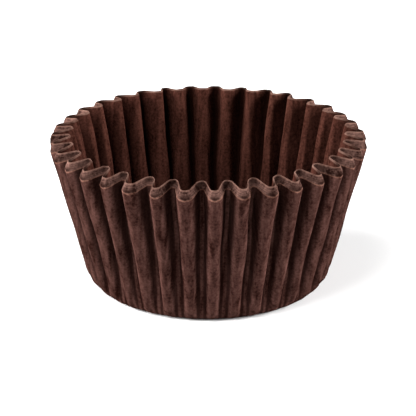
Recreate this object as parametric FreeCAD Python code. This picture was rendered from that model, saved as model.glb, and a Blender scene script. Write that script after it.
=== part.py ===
"""Paper candy cup: a flat round base and a wall of pressed flutes, as one thin solid.

The wall is several plies pressed together. Each stands a little higher than the one outside
it, so the rim is a slanted face between two cut edges. +Z is up, and the origin is the middle
of the underside. Lengths are in millimetres.
"""
import FreeCAD
import Part
import os
from math import acos, atan2, cos, pi, sin, tan

Vector = FreeCAD.Vector

# Plan and heights of the outermost ply
FLUTES = 35
MOUTH_DIAMETER = 38.0     # across the crests of the flutes, at the outer cut edge
FOOT_DIAMETER = 29.0      # where the lines of the crests would meet the table
OUTER_HEIGHT = 16.8       # table to the outer cut edge, at a crest

# Flutes
FLUTE_DEPTH = 2.25        # crest to valley at the rim
FOOT_DEPTH = 0.4          # crest to groove where their lines would meet the table
FOLD_HEIGHT = 14.0        # height at which the grooves have their full depth
VALLEY_RISE = 0.4         # a cut edge climbs by this from a crest to the next valley
OUTER_CREST_BEND = 1.15   # radius of the wide crests outside
OUTER_VALLEY_BEND = 0.3   # radius of the tight grooves between them
INNER_CREST_BEND = 0.35   # radius of the grooves inside, behind the crests
INNER_VALLEY_BEND = 0.65  # radius of the rounds between them
FOLD_FLAT_COUNT = 4       # flats from the top of a fold to its flank, within 0.02 of the arc

# Paper
WALL = 0.4                # thickness of all the plies together, at the base
FOOT_BEND = 1.2           # outer radius between the base and the wall
FOOT_FLAT_COUNT = 4       # flats that round it, within 0.03 of the arc
LIP_RISE = 1.3            # how much higher than the outer cut edge the inner one stands
LIP_INSET = 0.42          # how much nearer to the axis it is

HALF_PITCH = pi / FLUTES
HEADROOM = 2.0            # the hollow runs past the cut edge by this


def polar(radius, angle, height=0.0):
    return Vector(radius * cos(angle), radius * sin(angle), height)


def bend(centre, radius, start, end, flats):
    """Points along an arc in plan, from the angle start to the angle end."""
    step = (end - start) / flats
    return [centre + polar(radius, start + step * i) for i in range(flats + 1)]


def ring(reach, height, first_corner):
    """Level outline with a straight side for each flute, the sides at reach from the axis."""
    corners = [first_corner + 2 * HALF_PITCH * flute for flute in range(FLUTES)]
    return [polar(reach / cos(HALF_PITCH), angle, height) for angle in corners]


def face(corners):
    return Part.Face(Part.makePolygon(corners + corners[:1]))


def sides(lower, upper):
    """Flat faces between two outlines of like shape."""
    rungs = list(zip(lower, upper))
    return [face([a, b, d, c]) for (a, c), (b, d) in zip(rungs, rungs[1:] + rungs[:1])]


def slant(lower, upper):
    """Faces between two outlines of unlike shape, in triangles over the shorter diagonals."""
    rungs = list(zip(lower, upper))
    faces = []
    for (a, c), (b, d) in zip(rungs, rungs[1:] + rungs[:1]):
        if (a - d).Length < (b - c).Length:
            faces += [face([a, b, d]), face([a, d, c])]
        else:
            faces += [face([a, b, c]), face([b, d, c])]
    return faces


def roof(outline, top):
    return [face([a, b, top]) for a, b in zip(outline, outline[1:] + outline[:1])]


def solid(faces):
    return Part.makeSolid(Part.makeShell(faces))


class Skin:
    """One surface of the paper, as a filled cup shape that it bounds.

    inset is how far it lies inside the outermost surface, at the base. crest is the radius of
    its crests at the height rim, where it has its full depth of flute. Its folds are rounded
    to crest_bend and valley_bend.
    """

    def __init__(self, inset, crest, rim, crest_bend, valley_bend):
        self.crest = crest
        self.rim = rim
        self.crest_bend = crest_bend
        self.valley_bend = valley_bend
        self.foot_bend = FOOT_BEND - inset
        self.foot_crest = FOOT_DIAMETER / 2 - inset
        self.foot_groove = self.foot_crest - FOOT_DEPTH

    def crest_at(self, height):
        """Radius of the crests: from the foot they lean out in a straight line."""
        return self.foot_crest + (self.crest - self.foot_crest) * height / self.rim

    def half_flute(self):
        """From the middle of a crest to the middle of a valley, at full size."""
        crest_centre = polar(self.crest - self.crest_bend, 0)
        valley_centre = polar(self.crest - FLUTE_DEPTH + self.valley_bend, HALF_PITCH)
        between = valley_centre - crest_centre
        # the flank is the straight line that touches both bends, crossing between them
        facing = atan2(between.y, between.x)
        facing -= acos((self.crest_bend + self.valley_bend) / between.Length)
        points = bend(crest_centre, self.crest_bend, 0, facing, FOLD_FLAT_COUNT)
        return points + bend(
            valley_centre, self.valley_bend, pi + facing, pi + HALF_PITCH, FOLD_FLAT_COUNT
        )

    def outline(self, height, climb=0.0, sunk=0.0):
        """All the flutes at the height of their crests, which the valleys climb above.

        sunk is how far the crests lie inside their straight line.
        """
        half = self.half_flute()
        # the next flute begins with this one's last valley point
        mirrored = [Vector(point.x, -point.y, 0) for point in half[-2:0:-1]]
        points = []
        for flute in range(FLUTES):
            turn = FreeCAD.Rotation(Vector(0, 0, 1), 360 / FLUTES * flute)
            for point in mirrored + half:
                level = height + climb * (self.crest - point.Length) / FLUTE_DEPTH
                size = (self.crest_at(level) - sunk) / self.crest
                points.append(turn.multVec(point) * size + Vector(0, 0, level))
        return points

    def cut_edge(self):
        return self.outline(self.rim, VALLEY_RISE)

    def foot(self):
        """Radius and height along the bend of the foot, and the lean of the grooves above it."""
        groove = (self.crest - FLUTE_DEPTH) * self.crest_at(FOLD_HEIGHT) / self.crest
        lean = atan2(groove - self.foot_groove, FOLD_HEIGHT)
        outermost = self.foot_groove + FOOT_BEND - self.foot_bend
        centre = Vector(outermost - FOOT_BEND * tan((pi / 2 - lean) / 2), FOOT_BEND)
        return bend(centre, self.foot_bend, -pi / 2, -lean, FOOT_FLAT_COUNT), lean

    def core(self, top):
        """Plain body up to the height top: the foot, and the bottoms of the grooves above it."""
        foot, lean = self.foot()
        last = foot[-1]
        foot += [Vector(last.x + tan(lean) * (top - last.y), top)]
        rings = [ring(point.x, point.y, 0) for point in foot]
        faces = [face(rings[0]), face(rings[-1])]
        for lower, upper in zip(rings, rings[1:]):
            faces += sides(lower, upper)
        return solid(faces)

    def crests(self):
        """Faces of the crests up to the cut edge. They turn in at the foot, into the core."""
        foot = self.foot()[0][1]
        lowest = self.outline(foot.y, sunk=self.crest_at(foot.y) - foot.x)
        turn = self.outline(FOOT_BEND)
        return [face(lowest)] + sides(lowest, turn) + sides(turn, self.cut_edge())


def build_cup():
    mouth = MOUTH_DIAMETER / 2
    lip = mouth - LIP_INSET
    lip_height = OUTER_HEIGHT + LIP_RISE
    outside = Skin(0, mouth, OUTER_HEIGHT, OUTER_CREST_BEND, OUTER_VALLEY_BEND)
    inside = Skin(WALL, lip, lip_height, INNER_CREST_BEND, INNER_VALLEY_BEND)
    # the slanted face of the cut, and a roof over the mouth that the hollow takes away again
    inner_cut = inside.cut_edge()
    top = slant(outside.cut_edge(), inner_cut) + roof(inner_cut, Vector(0, 0, lip_height))
    core_top = (FOLD_HEIGHT + OUTER_HEIGHT) / 2
    filled = solid(outside.crests() + top).fuse(outside.core(core_top))
    lid = inside.outline(lip_height + HEADROOM)
    hollow = solid(inside.crests() + sides(inner_cut, lid) + [face(lid)])
    return filled.cut(hollow.fuse(inside.core(core_top)))


os.makedirs("parts", exist_ok=True)
build_cup().exportStep("parts/candy_cup.step")
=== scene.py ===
import random
from math import acos, atan2, cos, pi, radians, sin, sqrt, tan

import bpy
from mathutils import Matrix, Vector, noise


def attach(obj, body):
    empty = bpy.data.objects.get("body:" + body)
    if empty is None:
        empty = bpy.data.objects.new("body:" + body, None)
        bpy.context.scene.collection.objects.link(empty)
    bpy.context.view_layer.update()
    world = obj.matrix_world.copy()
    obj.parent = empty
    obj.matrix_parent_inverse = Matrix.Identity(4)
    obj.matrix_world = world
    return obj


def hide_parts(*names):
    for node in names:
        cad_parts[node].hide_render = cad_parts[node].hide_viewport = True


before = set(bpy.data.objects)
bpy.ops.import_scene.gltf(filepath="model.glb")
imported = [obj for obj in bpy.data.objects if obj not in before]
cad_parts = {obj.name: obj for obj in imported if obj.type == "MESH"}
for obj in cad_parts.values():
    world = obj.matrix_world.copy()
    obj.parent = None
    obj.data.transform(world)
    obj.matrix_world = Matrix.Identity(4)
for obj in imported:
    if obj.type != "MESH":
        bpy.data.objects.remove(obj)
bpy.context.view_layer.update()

MM = 0.001
rng = random.Random(35)

# ---------------------------------------------------------------- the cup, in millimetres
FLUTES = 35
MOUTH_DIAMETER = 38.0
FOOT_DIAMETER = 29.0
OUTER_HEIGHT = 16.8       # of the outermost ply's cut edge, at a crest
WALL = 0.4
FLUTE_DEPTH = 2.25
FOOT_DEPTH = 0.4          # of the grooves at the foot
FOLD_HEIGHT = 14.0        # where the grooves have their full depth
FOOT_BEND = 1.2
FOOT_TURN_IN = 1.1        # how far the crests turn in at the foot,
FOOT_TURN_HEIGHT = 1.5 * FOOT_BEND  # from this height down
SOFTEN = 0.16             # how softly a groove's bottom meets its flanks
MOUTH_RADIUS = MOUTH_DIAMETER / 2
HALF_PITCH = pi / FLUTES

# the rim: a slanted cut from the outermost ply's edge up to the ridge, its highest line,
# and from there a narrow slant inwards
LIP_RISE = 1.3            # from the outermost ply's edge up to the ridge
LIP_INSET = 0.42          # from the crests outside in to those inside
LIP_HEIGHT = OUTER_HEIGHT + LIP_RISE
LIP = MOUTH_RADIUS - LIP_INSET
CHAMFER = 0.2             # width of the slant inwards
LIP_DROP = 0.16           # and how far it falls
RIDGE_OUT = 0.12          # how far the ridge's crests stand outside those of the inside
CUT_ROUND = 0.035         # softness of a cut edge
VALLEY_RISE = 0.4         # how far the ridge and the inner edge climb from crest to valley
OUTER_VALLEY_RISE = 0.75  # the outermost ply's edge climbs more,
OUTER_CLIMB_POWER = 0.6   # and fastest beside the crest
CREST_SWELL = 0.17        # how far the cut's face stands out at a crest
GROOVE_HOLLOW = 0.42      # and how much further in it lies in a valley
PLY_STEP = 0.05           # depth of the line where one ply ends
CUT_INWARD = 0.8          # the way in which the face hollows
CUT_DOWNWARD = 0.6

# radius of the bends at the rim
OUTER_CREST_BEND = 0.92
OUTER_VALLEY_BEND = 0.3
INNER_CREST_BEND = 0.35
INNER_VALLEY_BEND = 0.65
RIDGE_CREST_BEND = 0.55
RIDGE_VALLEY_BEND = 0.61

# unevenness
EVEN_FOOT = 6.0           # the wall's grows from nothing at the base up to this height
FOOT_PUSH = 0.4           # share of a fold's own offset that is left at the foot
CORE_PUSH = 0.5           # and in the grooves' bottoms
WANDER = 0.07             # drift of a fold's line, as a share of the pitch or in millimetres
VALLEY_WANDER = 1.3       # times as much sideways for a valley's line
BROAD_WAVE = 0.05         # waves of the whole wall
FINE_WAVE = 0.022
CREASE = 0.12             # small creases down the wall
CUT_UNEVEN = 0.07         # waves of the cut's face
DISC_SWELL = 0.05         # of the base

# how fast the noise behind it changes, per millimetre unless said otherwise
WANDER_RATE = 0.16
FOLD_RATE = 3.7           # from one fold to the next
BROAD_RATE = 0.55
FINE_RATE = 1.7
CREASE_RATE = 2.0
WAVE_STRETCH = 0.35       # the same in height, as a share
CREASE_STRETCH = 0.11
CUT_RATE = 1.1
DISC_RATE = 0.25

# steps of the mesh
ARC_STEPS = 5             # along half a fold
FLANK_STEPS = 4           # along a flank
CUT_STEPS = 14            # across the slanted cut
PLY_GAPS = (4, 7, 10)     # the steps where one ply ends and the next begins
EDGE_STEPS = 2            # the rows at either end that belong to the outermost or innermost ply
LIP_SHARES = (0.25, 0.6, 0.9)  # across the slant inwards
OUTER_FOOT_STEPS = 8
OUTER_WALL_STEPS = 22
INNER_WALL_STEPS = 23
INNER_FOOT_STEPS = 5
DISC_SHARES = (0.02, 0.3, 0.6, 0.85, 1.0)
FOLLOW_FROM = 0.35        # share of the height from where the rows follow the cut edge's climb


def polar(radius, angle):
    return Vector((radius * cos(angle), radius * sin(angle)))


def bend(centre, radius, start, end, steps):
    """Points along an arc."""
    return [centre + polar(radius, start + (end - start) * i / steps) for i in range(steps + 1)]


def blend(a, b, t):
    return a + (b - a) * t


def ease(t):
    t = min(max(t, 0.0), 1.0)
    return t * t * (3 - 2 * t)


def rising(value, start, end):
    """0 up to start and 1 from end on, with a soft change between them."""
    return ease((value - start) / (end - start))


def falling(value, start, end):
    """1 up to start and 0 from end on, with a soft change between them."""
    return ease((end - value) / (end - start))


class Skin:
    """One surface of the paper: inset is how deep it lies in the wall from the outside."""

    def __init__(self, inset, crest, rim, crest_bend, valley_bend):
        self.crest, self.rim = crest, rim
        self.crest_bend, self.valley_bend = crest_bend, valley_bend
        self.foot_crest = FOOT_DIAMETER / 2 - inset
        foot_groove = self.foot_crest - FOOT_DEPTH
        groove = (crest - FLUTE_DEPTH) * self.line(FOLD_HEIGHT) / crest
        self.lean = atan2(groove - foot_groove, FOLD_HEIGHT)
        out = FOOT_DIAMETER / 2 - FOOT_DEPTH - FOOT_BEND * tan((pi / 2 - self.lean) / 2)
        self.bend = FOOT_BEND - inset
        self.centre = Vector((out, FOOT_BEND))    # of the foot's bend, as radius and height
        self.flute = self.half_flute()

    def line(self, z):
        """Radius of the crests, as if they ran straight down to the base."""
        return self.foot_crest + (self.crest - self.foot_crest) * z / self.rim

    def crest_at(self, z):
        """Radius of the crests, which turn in at the foot on a soft bend."""
        turn_in = max(0.0, 1 - z / FOOT_TURN_HEIGHT)
        return self.line(z) - FOOT_TURN_IN * turn_in * turn_in

    def core_at(self, z):
        """Radius of the smooth foot, and above it of the grooves' bottoms."""
        last = self.centre + polar(self.bend, -self.lean)
        if z > last.y:
            return last.x + tan(self.lean) * (z - last.y)
        down = min(max(FOOT_BEND - z, 0.0), self.bend)
        return self.centre.x + sqrt(self.bend ** 2 - down ** 2)

    def half_flute(self):
        """Polar points (angle, radius) from the middle of a crest to the middle of a valley."""
        crest_centre = polar(self.crest - self.crest_bend, 0)
        valley_centre = polar(self.crest - FLUTE_DEPTH + self.valley_bend, HALF_PITCH)
        between = valley_centre - crest_centre
        facing = atan2(between.y, between.x)
        facing -= acos((self.crest_bend + self.valley_bend) / between.length)
        crest = bend(crest_centre, self.crest_bend, 0, facing, ARC_STEPS)
        valley = bend(valley_centre, self.valley_bend, pi + facing, pi + HALF_PITCH, ARC_STEPS)
        flank = [crest[-1].lerp(valley[0], i / FLANK_STEPS) for i in range(1, FLANK_STEPS)]
        return [(atan2(p.y, p.x), p.length) for p in crest + flank + valley]


def outer_skin(depth):
    """The outside surface, or one that lies depth inside it, up to the outermost ply's edge."""
    return Skin(depth, MOUTH_RADIUS - depth, OUTER_HEIGHT,
                OUTER_CREST_BEND - depth, OUTER_VALLEY_BEND + depth)


def inner_skin(to_ridge):
    """The inside surface at 0, the one that ends on the ridge at 1, or one between them."""
    return Skin(WALL - CHAMFER * to_ridge, LIP + RIDGE_OUT * to_ridge, LIP_HEIGHT,
                blend(INNER_CREST_BEND, RIDGE_CREST_BEND, to_ridge),
                blend(INNER_VALLEY_BEND, RIDGE_VALLEY_BEND, to_ridge))


outer, inner = outer_skin(0), inner_skin(0)
# for each point of a half flute, 0 on the crest and 1 in the valley
grooves = [(outer.crest - radius) / FLUTE_DEPTH for _, radius in outer.flute]


# ------------------------------------------------------- what makes one flute unlike the next
def draws(spread):
    return [rng.gauss(0, spread) for _ in range(FLUTES)]


# a valley has the number of the crest before it
crest_turn = draws(0.028)   # round the cup, as a share of the pitch
valley_turn = draws(0.045)
crest_out = draws(0.06)     # outwards, in millimetres
valley_out = draws(0.09)
flute_lean = draws(0.03)    # from foot to rim, as a share of the pitch
cut_lift = draws(0.045)     # of the cut edges, in millimetres
# where in the noise each kind of drift begins
CREST_TURNS, VALLEY_TURNS, CREST_PUSHES = 0, 50, 99


def wander(which, z, scale=1.0):
    """Slow drift of a fold's line along its height."""
    spot = Vector((which * FOLD_RATE, z * WANDER_RATE, scale))
    return WANDER * scale * noise.noise(spot)


def waves_at(turn, z):
    """Waves of the wall and small creases down it, all of them longer in height than across."""
    around = Vector((cos(turn) * MOUTH_RADIUS, sin(turn) * MOUTH_RADIUS, z * WAVE_STRETCH))
    waves = BROAD_WAVE * noise.noise(around * BROAD_RATE)
    waves += FINE_WAVE * noise.noise(around * FINE_RATE)
    across = MOUTH_RADIUS * CREASE_RATE
    creases = Vector((cos(turn) * across, sin(turn) * across, z * CREASE_RATE * CREASE_STRETCH))
    return waves + CREASE * noise.noise(creases)


def climb_at(skin, down):
    """How far a cut edge has climbed: down is 0 on a crest and 1 in a valley."""
    if skin.rim == OUTER_HEIGHT:
        return OUTER_VALLEY_RISE * max(down, 0.0) ** OUTER_CLIMB_POWER
    return VALLEY_RISE * down


columns = []              # (flute, side, index in the half flute), once round the cup
half_count = 2 * ARC_STEPS + FLANK_STEPS + 1
for flute in range(FLUTES):
    columns += [(flute, -1, i) for i in range(half_count - 2, 0, -1)]
    columns += [(flute, 1, i) for i in range(half_count)]


def place(skin, column, z_nominal, follow_cut=1.0, drop=0.0):
    """A point of the surface: folded shape, softened, with this cup's own unevenness."""
    flute, side, index = column
    angle, radius = skin.flute[index]
    down = (skin.crest - radius) / FLUTE_DEPTH
    valley = flute if side > 0 else (flute - 1) % FLUTES
    height_share = z_nominal / skin.rim
    rise = climb_at(skin, down) + blend(cut_lift[flute], cut_lift[valley], down)
    z = z_nominal + follow_cut * rise - drop
    fade = rising(z, 0.0, EVEN_FOOT)
    # round the cup
    crest_shift = crest_turn[flute] + flute_lean[flute] * (height_share - 0.5)
    crest_shift += wander(CREST_TURNS + flute, z)
    valley_shift = valley_turn[valley] + wander(VALLEY_TURNS + valley, z, VALLEY_WANDER)
    shift = fade * blend(crest_shift, valley_shift, angle / HALF_PITCH)
    turn = side * angle + 2 * HALF_PITCH * (flute + shift)
    # outwards: whichever is further out of the folds and the core, with a soft change between
    # them that would stand out by up to half of SOFTEN, so a part of that is taken back
    size = skin.crest_at(z) / skin.crest
    push = blend(crest_out[flute] + wander(CREST_PUSHES + flute, z), valley_out[valley], down)
    folded = radius * size + fade * push * blend(FOOT_PUSH, 1.0, height_share)
    core = skin.core_at(z) + fade * CORE_PUSH * push
    reach = (folded + core + sqrt((folded - core) ** 2 + SOFTEN ** 2)) / 2
    reach -= 0.25 * SOFTEN * rising(z, 0.0, EVEN_FOOT / 2)
    reach += fade * waves_at(turn, z)
    return Vector((reach * cos(turn), reach * sin(turn), z))


# ---------------------------------------------------------------- rows of points, base to floor
WALL_OUT, CUT, BAND, LIP_CUT, WALL_IN, FLOOR_IN, UNDER = range(7)
# (material, share of the way across the cut or drop below the ridge, list of points)
rows = []


def add_row(material, skin, z, follow=0.0, drop=0.0):
    rows.append((material, drop, [place(skin, column, z, follow, drop) for column in columns]))


def add_disc(material, skin, z, shares):
    edge = skin.centre.x
    for share in shares:
        points = []
        for flute, side, index in columns:
            angle = side * skin.flute[index][0] + 2 * HALF_PITCH * flute
            spot = polar(edge * share, angle)
            swell = DISC_SWELL * noise.noise(Vector((spot.x * DISC_RATE, spot.y * DISC_RATE, z)))
            points.append(Vector((spot.x, spot.y, z + abs(swell) * (1 - share))))
        rows.append((material, 0.0, points))


def follow_at(z, rim):
    """How far a row follows the climb of the cut edge: not at all low down."""
    return rising(z, FOLLOW_FROM * rim, rim)


def hollow_at(spot, share, groove, is_gap):
    """How far the cut's face lies in from the straight line between its two edges."""
    hollow = GROOVE_HOLLOW * groove - CREST_SWELL + CUT_UNEVEN * noise.noise(spot * CUT_RATE)
    hollow += PLY_STEP * is_gap
    # fullest low down on a crest, and deepest high up in a valley
    return hollow * sin(pi * share ** blend(0.6, 1.6, groove)) ** 0.8


# underside, foot, outer wall
add_disc(UNDER, outer, 0.0, DISC_SHARES)
for i in range(1, OUTER_FOOT_STEPS + 1):
    turn = (pi / 2) * (1 - i / OUTER_FOOT_STEPS)
    add_row(WALL_OUT, outer, FOOT_BEND * (1 - sin(turn)))
for i in range(1, OUTER_WALL_STEPS + 1):
    z = blend(FOOT_BEND, OUTER_HEIGHT - CUT_ROUND, i / OUTER_WALL_STEPS)
    add_row(WALL_OUT, outer, z, follow_at(z, OUTER_HEIGHT))
# the slanted cut through all the plies: full at the crests, hollow in the valleys
low_skin, ridge_skin = outer_skin(CUT_ROUND), inner_skin(1)
low = [place(low_skin, column, OUTER_HEIGHT) for column in columns]
ridge = [place(ridge_skin, column, LIP_HEIGHT) for column in columns]
for i in range(CUT_STEPS + 1):
    share = i / CUT_STEPS
    points = []
    for (_, _, index), start, end in zip(columns, low, ridge):
        spot = start.lerp(end, share)
        inwards = Vector((-spot.x, -spot.y, 0)).normalized() * CUT_INWARD
        inwards.z = -CUT_DOWNWARD
        points.append(spot + inwards * hollow_at(spot, share, grooves[index], i in PLY_GAPS))
    if i < EDGE_STEPS:
        rows.append((CUT, share, points))
    elif i <= CUT_STEPS - EDGE_STEPS:
        rows.append((BAND, share, points))
    else:
        rows.append((LIP_CUT, 0.0, points))
# the slant inwards, which falls faster the further in it is
for share in LIP_SHARES:
    add_row(LIP_CUT, inner_skin(1 - share), LIP_HEIGHT, 1.0, LIP_DROP * share ** 1.5)
add_row(LIP_CUT, inner, LIP_HEIGHT, 1.0, LIP_DROP + CUT_ROUND)
# inside wall, inner foot and floor
for i in range(1, INNER_WALL_STEPS + 1):
    z = blend(LIP_HEIGHT - LIP_DROP - CUT_ROUND, FOOT_BEND, i / INNER_WALL_STEPS)
    add_row(WALL_IN, inner, z, follow_at(z, LIP_HEIGHT))
for i in range(1, INNER_FOOT_STEPS + 1):
    turn = (pi / 2) * i / INNER_FOOT_STEPS
    add_row(WALL_IN, inner, FOOT_BEND - (FOOT_BEND - WALL) * sin(turn))
add_disc(FLOOR_IN, inner, WALL, DISC_SHARES[::-1])

# ---------------------------------------------------------------- the mesh
verts, faces, kinds = [], [], []
count = len(columns)
for _, _, points in rows:
    verts += [tuple(p * MM) for p in points]
for r in range(len(rows) - 1):
    for c in range(count):
        d = (c + 1) % count
        faces.append((r * count + c, r * count + d, (r + 1) * count + d, (r + 1) * count + c))
        kinds.append(rows[r + 1][0])
# the middles of the underside and of the floor inside
faces.append(tuple(reversed(range(count))))
kinds.append(UNDER)
last_row = (len(rows) - 1) * count
faces.append(tuple(last_row + c for c in range(count)))
kinds.append(FLOOR_IN)

mesh = bpy.data.meshes.new("paper_cup")
mesh.from_pydata(verts, [], faces)
mesh.polygons.foreach_set("material_index", kinds)
mesh.polygons.foreach_set("use_smooth", [True] * len(faces))
cup = bpy.data.objects.new("paper_cup", mesh)
bpy.context.scene.collection.objects.link(cup)


def painted_shade_at(material, share, groove):
    """Painted shade, from 0 to 1: how dark the shadowed folds, the pockets behind the crests and
    the shadow lines between the plies are painted.
    share is the row's, and groove is 0 on a crest and 1 in a valley."""
    if material == BAND:
        # painted shadow just above the outermost ply's edge on a crest, painted shade in the
        # valleys' hollows, and painted shadow lines where one ply ends
        on_crest = falling(groove, 0.0, 0.2) * rising(share, 0.0, 0.1) * falling(share, 0.2, 0.6)
        in_groove = rising(groove, 0.6, 1.0) * rising(share, 0.25, 0.65)
        in_groove *= falling(share, 0.86, 0.98)
        gap = 0.45 * (round(share * CUT_STEPS) in PLY_GAPS)
        return max(0.85 * on_crest, 0.55 * in_groove, gap)
    if material == WALL_OUT:
        # painted shade: the crest's middle a little darker, as if lit from the sides only, and the
        # flanks darker down into the valleys, less on the valley floor, where light reaches
        on_top = 0.32 * falling(groove, 0.02, 0.12)
        flank = 0.8 * rising(groove, 0.16, 0.5) * (1 - 0.6 * rising(groove, 0.9, 1.0))
        return max(on_top, flank)
    if material == WALL_IN:
        # painted shade in the pockets behind the crests
        return 0.85 * falling(groove, 0.05, 0.45)
    # painted shade on the slant inwards, darkest at the crests
    if material == LIP_CUT and share > 0:    # inside the ridge
        return 0.9 * falling(groove, 0.28, 0.88)
    return 0.0


# painted shade, stored on the points for the paper materials
painted_shade = mesh.attributes.new("painted_shade", "FLOAT", "POINT")
values = []
for material, share, _ in rows:
    values += [painted_shade_at(material, share, grooves[index]) for _, _, index in columns]
painted_shade.data.foreach_set("value", values)

# ---------------------------------------------------------------- paper
# the colour that painted shade darkens the paper towards, in the shadowed folds, pockets and ply
# gaps
SHADOW = (0.006, 0.0018, 0.0012)
# shares of the broad mottling, the streaks along the folds and the fine grain
EVEN = (0.3, 0.3, 0.4)
SMOOTHER = (0.5, 0.15, 0.35)
STREAKY = (0.15, 0.45, 0.4)
FINER = (0.15, 0.35, 0.5)


def paper(name, dark, light, roughness, bump=0.3, softness=1.0, shares=EVEN):
    """Dyed paper, between a dark and a light colour, and darkened towards SHADOW where the mesh
    has painted shade.
    The two blend into each other over more of the noise as softness grows."""
    material = bpy.data.materials.new(name)
    material.use_nodes = True
    nodes, links = material.node_tree.nodes, material.node_tree.links
    shader = nodes["Principled BSDF"]
    where = nodes.new("ShaderNodeTexCoord").outputs["Object"]

    def cloud(scale, detail, rough=0.55, stretch=1.0):
        mapping = nodes.new("ShaderNodeMapping")
        mapping.inputs["Scale"].default_value = (1, 1, stretch)
        node = nodes.new("ShaderNodeTexNoise")
        node.inputs["Scale"].default_value = scale
        node.inputs["Detail"].default_value = detail
        node.inputs["Roughness"].default_value = rough
        links.new(where, mapping.inputs["Vector"])
        links.new(mapping.outputs["Vector"], node.inputs["Vector"])
        return node.outputs["Fac"]

    def maths(operation, a, b):
        node = nodes.new("ShaderNodeMath")
        node.operation = operation
        for socket, value in zip(node.inputs, (a, b)):
            if isinstance(value, (int, float)):
                socket.default_value = value
            else:
                links.new(value, socket)
        return node.outputs[0]

    broad = cloud(450.0, detail=3.0)
    streak = cloud(1700.0, detail=1.5, rough=0.5, stretch=0.06)
    fine = cloud(3300.0, detail=2.0, rough=0.7)
    mixed = maths("ADD", maths("MULTIPLY", broad, shares[0]), maths("MULTIPLY", streak, shares[1]))
    mixed = maths("ADD", mixed, maths("MULTIPLY", fine, shares[2]))

    ramp = nodes.new("ShaderNodeValToRGB")
    ramp.color_ramp.elements[0].position = 0.5 - 0.11 * softness
    ramp.color_ramp.elements[0].color = (*dark, 1)
    ramp.color_ramp.elements[1].position = 0.5 + 0.13 * softness
    ramp.color_ramp.elements[1].color = (*light, 1)
    links.new(mixed, ramp.inputs["Fac"])
    # painted shade: the mesh's attribute darkens the paper's colour towards SHADOW
    shaded = nodes.new("ShaderNodeAttribute")
    shaded.attribute_name = "painted_shade"
    darken = nodes.new("ShaderNodeMix")
    darken.data_type = "RGBA"
    colours = [socket for socket in darken.inputs if socket.type == "RGBA"]
    links.new(shaded.outputs["Fac"], darken.inputs["Factor"])
    links.new(ramp.outputs["Color"], colours[0])
    colours[1].default_value = (*SHADOW, 1)
    result = [socket for socket in darken.outputs if socket.type == "RGBA"][0]
    links.new(result, shader.inputs["Base Color"])

    rough = nodes.new("ShaderNodeMapRange")
    rough.inputs["To Min"].default_value = roughness - 0.06
    rough.inputs["To Max"].default_value = roughness + 0.08
    links.new(fine, rough.inputs["Value"])
    links.new(rough.outputs["Result"], shader.inputs["Roughness"])
    lift = nodes.new("ShaderNodeBump")
    lift.inputs["Strength"].default_value = bump
    lift.inputs["Distance"].default_value = 0.08 * MM
    links.new(mixed, lift.inputs["Height"])
    links.new(lift.outputs["Normal"], shader.inputs["Normal"])
    shader.inputs["Specular IOR Level"].default_value = 0.0
    return material


# in the order of WALL_OUT, CUT, BAND, LIP_CUT, WALL_IN, FLOOR_IN and UNDER
for material in (
    paper("paper_outside", (0.0125, 0.0039, 0.0027), (0.091, 0.0415, 0.0340), 0.52,
          bump=0.5, softness=1.15, shares=STREAKY),
    paper("paper_cut_edge", (0.040, 0.016, 0.011), (0.180, 0.087, 0.064), 0.7),
    paper("paper_band", (0.012, 0.0048, 0.0035), (0.143, 0.0745, 0.060), 0.62,
          bump=0.5, softness=0.95, shares=SMOOTHER),
    paper("paper_lip", (0.045, 0.020, 0.0145), (0.180, 0.100, 0.078), 0.65,
          softness=1.4, shares=SMOOTHER),
    paper("paper_inside", (0.016, 0.0049, 0.0032), (0.079, 0.0284, 0.0203), 0.6,
          softness=1.2, shares=FINER),
    paper("paper_floor", (0.014, 0.0040, 0.0024), (0.070, 0.0205, 0.0130), 0.6),
    paper("paper_underside", (0.016, 0.0046, 0.0030), (0.070, 0.0240, 0.0165), 0.6),
):
    mesh.materials.append(material)

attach(cup, "root")
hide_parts("candy_cup")

# ---------------------------------------------------------------- floor, light and camera
HALF_FLOOR = 3.0          # metres
FLOOR_GAP = 0.02          # millimetres, so that the floor and the base don't share a plane
corners = [(-HALF_FLOOR, -HALF_FLOOR, 0), (HALF_FLOOR, -HALF_FLOOR, 0),
           (HALF_FLOOR, HALF_FLOOR, 0), (-HALF_FLOOR, HALF_FLOOR, 0)]
floor_mesh = bpy.data.meshes.new("floor")
floor_mesh.from_pydata(corners, [], [(0, 1, 2, 3)])
floor = bpy.data.objects.new("floor", floor_mesh)
bpy.context.scene.collection.objects.link(floor)
floor_paint = bpy.data.materials.new("floor")
floor_paint.use_nodes = True
floor_shader = floor_paint.node_tree.nodes["Principled BSDF"]
floor_shader.inputs["Base Color"].default_value = (0.9, 0.9, 0.9, 1)
floor_shader.inputs["Roughness"].default_value = 0.9
floor_mesh.materials.append(floor_paint)
floor.location.z = -FLOOR_GAP * MM

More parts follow.
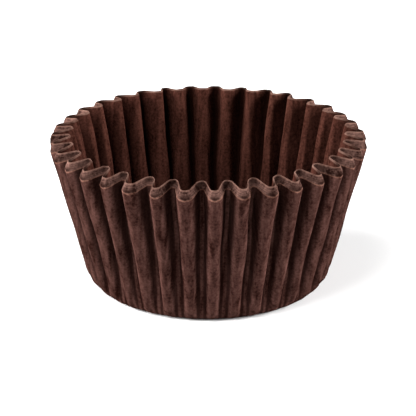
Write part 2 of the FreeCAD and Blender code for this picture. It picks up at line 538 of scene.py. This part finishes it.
# the surroundings are white to the camera, and give little light
SURROUND_LIGHT = 0.05
world = bpy.data.worlds.new("studio")
bpy.context.scene.world = world
world.use_nodes = True
background = world.node_tree.nodes["Background"]
background.inputs["Color"].default_value = (1, 1, 1, 1)
seen = world.node_tree.nodes.new("ShaderNodeLightPath")
level = world.node_tree.nodes.new("ShaderNodeMapRange")
level.inputs["To Min"].default_value = SURROUND_LIGHT
level.inputs["To Max"].default_value = 1.0
world.node_tree.links.new(seen.outputs["Is Camera Ray"], level.inputs["Value"])
world.node_tree.links.new(level.outputs["Result"], background.inputs["Strength"])

# in millimetres, where it isn't an angle
VIEW_TURN = radians(-4.6)  # of the camera and the lamps round the cup
VIEW_HEIGHT = 8.7         # where they aim
RIM_LEVEL = 17.0          # which the camera's distance is measured from
CAMERA_DISTANCE = 263.0
CAMERA_ELEVATION = radians(19.75)
CAMERA_LENS = 190
middle = Vector((0, 0, VIEW_HEIGHT)) * MM
turned = Matrix.Rotation(VIEW_TURN, 3, "Z")


def aim(obj, target):
    direction = target - obj.location
    obj.rotation_euler = direction.to_track_quat("-Z", "Y").to_euler()


def lamp(name, place_mm, size_mm, power):
    """A rectangular lamp that points at the cup, with its power in watts."""
    data = bpy.data.lights.new(name, "AREA")
    data.shape = "RECTANGLE"
    data.size, data.size_y = size_mm[0] * MM, size_mm[1] * MM
    data.energy = power
    obj = bpy.data.objects.new(name, data)
    obj.location = turned @ Vector(place_mm) * MM
    bpy.context.scene.collection.objects.link(obj)
    aim(obj, middle)


lamp("left", (-338, -30, 140), (260, 220), 3.6)
lamp("right", (338, -30, 140), (260, 220), 3.3)
lamp("top", (-165, -190, 390), (240, 240), 2.0)

view = bpy.data.cameras.new("camera")
view.lens = CAMERA_LENS
view.clip_start = 0.01
camera = bpy.data.objects.new("camera", view)
back = Vector((0, -cos(CAMERA_ELEVATION), sin(CAMERA_ELEVATION))) * CAMERA_DISTANCE
camera.location = (turned @ (Vector((0, 0, RIM_LEVEL)) + back)) * MM
bpy.context.scene.collection.objects.link(camera)
aim(camera, middle)
bpy.context.scene.camera = camera
bpy.context.scene.view_settings.view_transform = "Standard"
